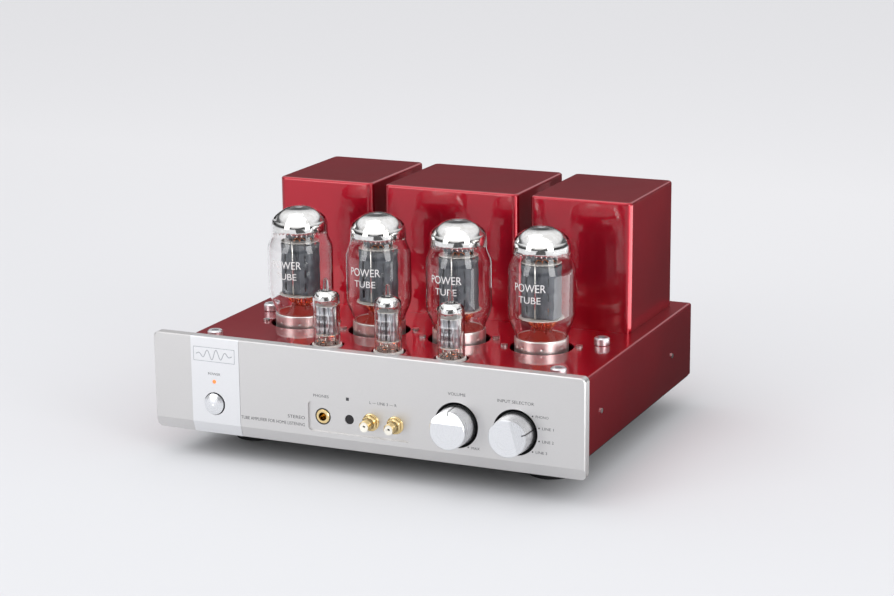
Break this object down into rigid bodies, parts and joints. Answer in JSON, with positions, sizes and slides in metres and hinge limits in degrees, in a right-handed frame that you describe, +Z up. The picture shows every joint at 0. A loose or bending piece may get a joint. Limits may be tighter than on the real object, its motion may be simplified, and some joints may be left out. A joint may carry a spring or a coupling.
{
  "type": "tube amplifier",
  "caption": "Integrated tube amplifier: steel chassis with front controls, exposed power and small tubes on the deck, and box covers over the transformers.",
  "frame": {"origin": "on the table, under the middle of the amplifier's overall box", "axes": "+X to the right seen from the front, +Y from the front panel to the rear wall, +Z up"},
  "size_m": [0.345, 0.32, 0.185],
  "materials": {
    "red_paint": "gloss metallic",
    "black_steel": "satin black paint",
    "lamination": "varnished steel laminations",
    "copper_winding": "enamelled copper wire",
    "bright_metal": "bright plated",
    "black_plastic": "moulded",
    "rubber": "matt",
    "panel_aluminium": "fine blasted, anodised",
    "badge_aluminium": "polished, anodised",
    "knob_aluminium": "turned and satin anodised",
    "led_lens": "translucent lens",
    "zinc_steel": "zinc plated",
    "gold_metal": "gold plated",
    "dark_lens": "smoked lens",
    "ivory_plastic": "moulded",
    "red_plastic": "moulded",
    "tube_glass": "clear blown glass",
    "anode_metal": "carbonised nickel",
    "ceramic": "glazed",
    "board": "solder mask over glass laminate",
    "capacitor_sleeve": "shrink sleeve"
  },
  "bodies": {
    "chassis": {"chassis_shell": "red_paint", "front_wall": "red_paint", "rear_panel": "red_paint", "bottom_cover": "black_steel", "transformer_cover_left": "red_paint", "transformer_cover_center": "red_paint", "transformer_cover_right": "red_paint", "transformer_cores": "lamination", "transformer_windings": "copper_winding", "cage_posts": "bright_metal", "feet": "black_plastic", "foot_pads": "rubber", "front_panel": "panel_aluminium", "badge_plate": "badge_aluminium", "power_switch": "black_plastic", "power_led": "led_lens", "volume_potentiometer": "zinc_steel", "selector_switch": "zinc_steel", "headphone_jack": "gold_metal", "remote_sensor": "dark_lens", "front_line_jacks": "gold_metal", "rear_line_jacks": "gold_metal", "line_jack_insulators": "ivory_plastic", "speaker_posts": "gold_metal", "speaker_washers": "black_plastic", "mains_inlet": "black_plastic", "power_tube_sockets": "ceramic", "small_tube_sockets": "ceramic", "circuit_board": "board", "filter_capacitors": "capacitor_sleeve", "fasteners": "zinc_steel"},
    "button": {"power_button": "knob_aluminium"},
    "volume": {"volume_knob": "knob_aluminium", "volume_shaft": "bright_metal"},
    "selector": {"selector_knob": "knob_aluminium", "selector_shaft": "bright_metal"},
    "power_tube_1": {"power_tube_1_glass": "tube_glass", "power_tube_1_base": "bright_metal", "power_tube_1_electrodes": "anode_metal"},
    "power_tube_2": {"power_tube_2_glass": "tube_glass", "power_tube_2_base": "bright_metal", "power_tube_2_electrodes": "anode_metal"},
    "power_tube_3": {"power_tube_3_glass": "tube_glass", "power_tube_3_base": "bright_metal", "power_tube_3_electrodes": "anode_metal"},
    "power_tube_4": {"power_tube_4_glass": "tube_glass", "power_tube_4_base": "bright_metal", "power_tube_4_electrodes": "anode_metal"},
    "small_tube_1": {"small_tube_1_glass": "tube_glass", "small_tube_1_electrodes": "anode_metal"},
    "small_tube_2": {"small_tube_2_glass": "tube_glass", "small_tube_2_electrodes": "anode_metal"},
    "small_tube_3": {"small_tube_3_glass": "tube_glass", "small_tube_3_electrodes": "anode_metal"},
    "terminal_cap_1": {"speaker_cap_1": "black_plastic"},
    "terminal_cap_2": {"speaker_cap_2": "red_plastic"},
    "terminal_cap_3": {"speaker_cap_3": "red_plastic"},
    "terminal_cap_4": {"speaker_cap_4": "black_plastic"},
    "terminal_cap_5": {"speaker_cap_5": "red_plastic"},
    "terminal_cap_6": {"speaker_cap_6": "red_plastic"}
  },
  "joints": [
    {"name": "power_button_push", "type": "slide", "parent": "chassis", "child": "button", "axis": [0, 1, 0], "range_m": [0, 0.003], "stiffness_N_per_m": 400, "springref_m": -0.001},
    {"name": "volume_turn", "type": "hinge", "parent": "chassis", "child": "volume", "pos_m": [0.075, 0, 0.0496], "axis": [0, 1, 0], "range_deg": [-150, 150]},
    {"name": "selector_turn", "type": "hinge", "parent": "chassis", "child": "selector", "pos_m": [0.1202, 0, 0.0496], "axis": [0, 1, 0], "range_deg": [-30, 60]},
    {"name": "power_tube_1_pull", "type": "slide", "parent": "chassis", "child": "power_tube_1", "axis": [0, 0, 1], "range_m": [0, 0.06]},
    {"name": "power_tube_2_pull", "type": "slide", "parent": "chassis", "child": "power_tube_2", "axis": [0, 0, 1], "range_m": [0, 0.06]},
    {"name": "power_tube_3_pull", "type": "slide", "parent": "chassis", "child": "power_tube_3", "axis": [0, 0, 1], "range_m": [0, 0.06]},
    {"name": "power_tube_4_pull", "type": "slide", "parent": "chassis", "child": "power_tube_4", "axis": [0, 0, 1], "range_m": [0, 0.06]},
    {"name": "small_tube_1_pull", "type": "slide", "parent": "chassis", "child": "small_tube_1", "axis": [0, 0, 1], "range_m": [0, 0.03]},
    {"name": "small_tube_2_pull", "type": "slide", "parent": "chassis", "child": "small_tube_2", "axis": [0, 0, 1], "range_m": [0, 0.03]},
    {"name": "small_tube_3_pull", "type": "slide", "parent": "chassis", "child": "small_tube_3", "axis": [0, 0, 1], "range_m": [0, 0.03]},
    {"name": "terminal_cap_1_open", "type": "slide", "parent": "chassis", "child": "terminal_cap_1", "axis": [0, 1, 0], "range_m": [0, 0.005]},
    {"name": "terminal_cap_2_open", "type": "slide", "parent": "chassis", "child": "terminal_cap_2", "axis": [0, 1, 0], "range_m": [0, 0.005]},
    {"name": "terminal_cap_3_open", "type": "slide", "parent": "chassis", "child": "terminal_cap_3", "axis": [0, 1, 0], "range_m": [0, 0.005]},
    {"name": "terminal_cap_4_open", "type": "slide", "parent": "chassis", "child": "terminal_cap_4", "axis": [0, 1, 0], "range_m": [0, 0.005]},
    {"name": "terminal_cap_5_open", "type": "slide", "parent": "chassis", "child": "terminal_cap_5", "axis": [0, 1, 0], "range_m": [0, 0.005]},
    {"name": "terminal_cap_6_open", "type": "slide", "parent": "chassis", "child": "terminal_cap_6", "axis": [0, 1, 0], "range_m": [0, 0.005]}
  ]
}
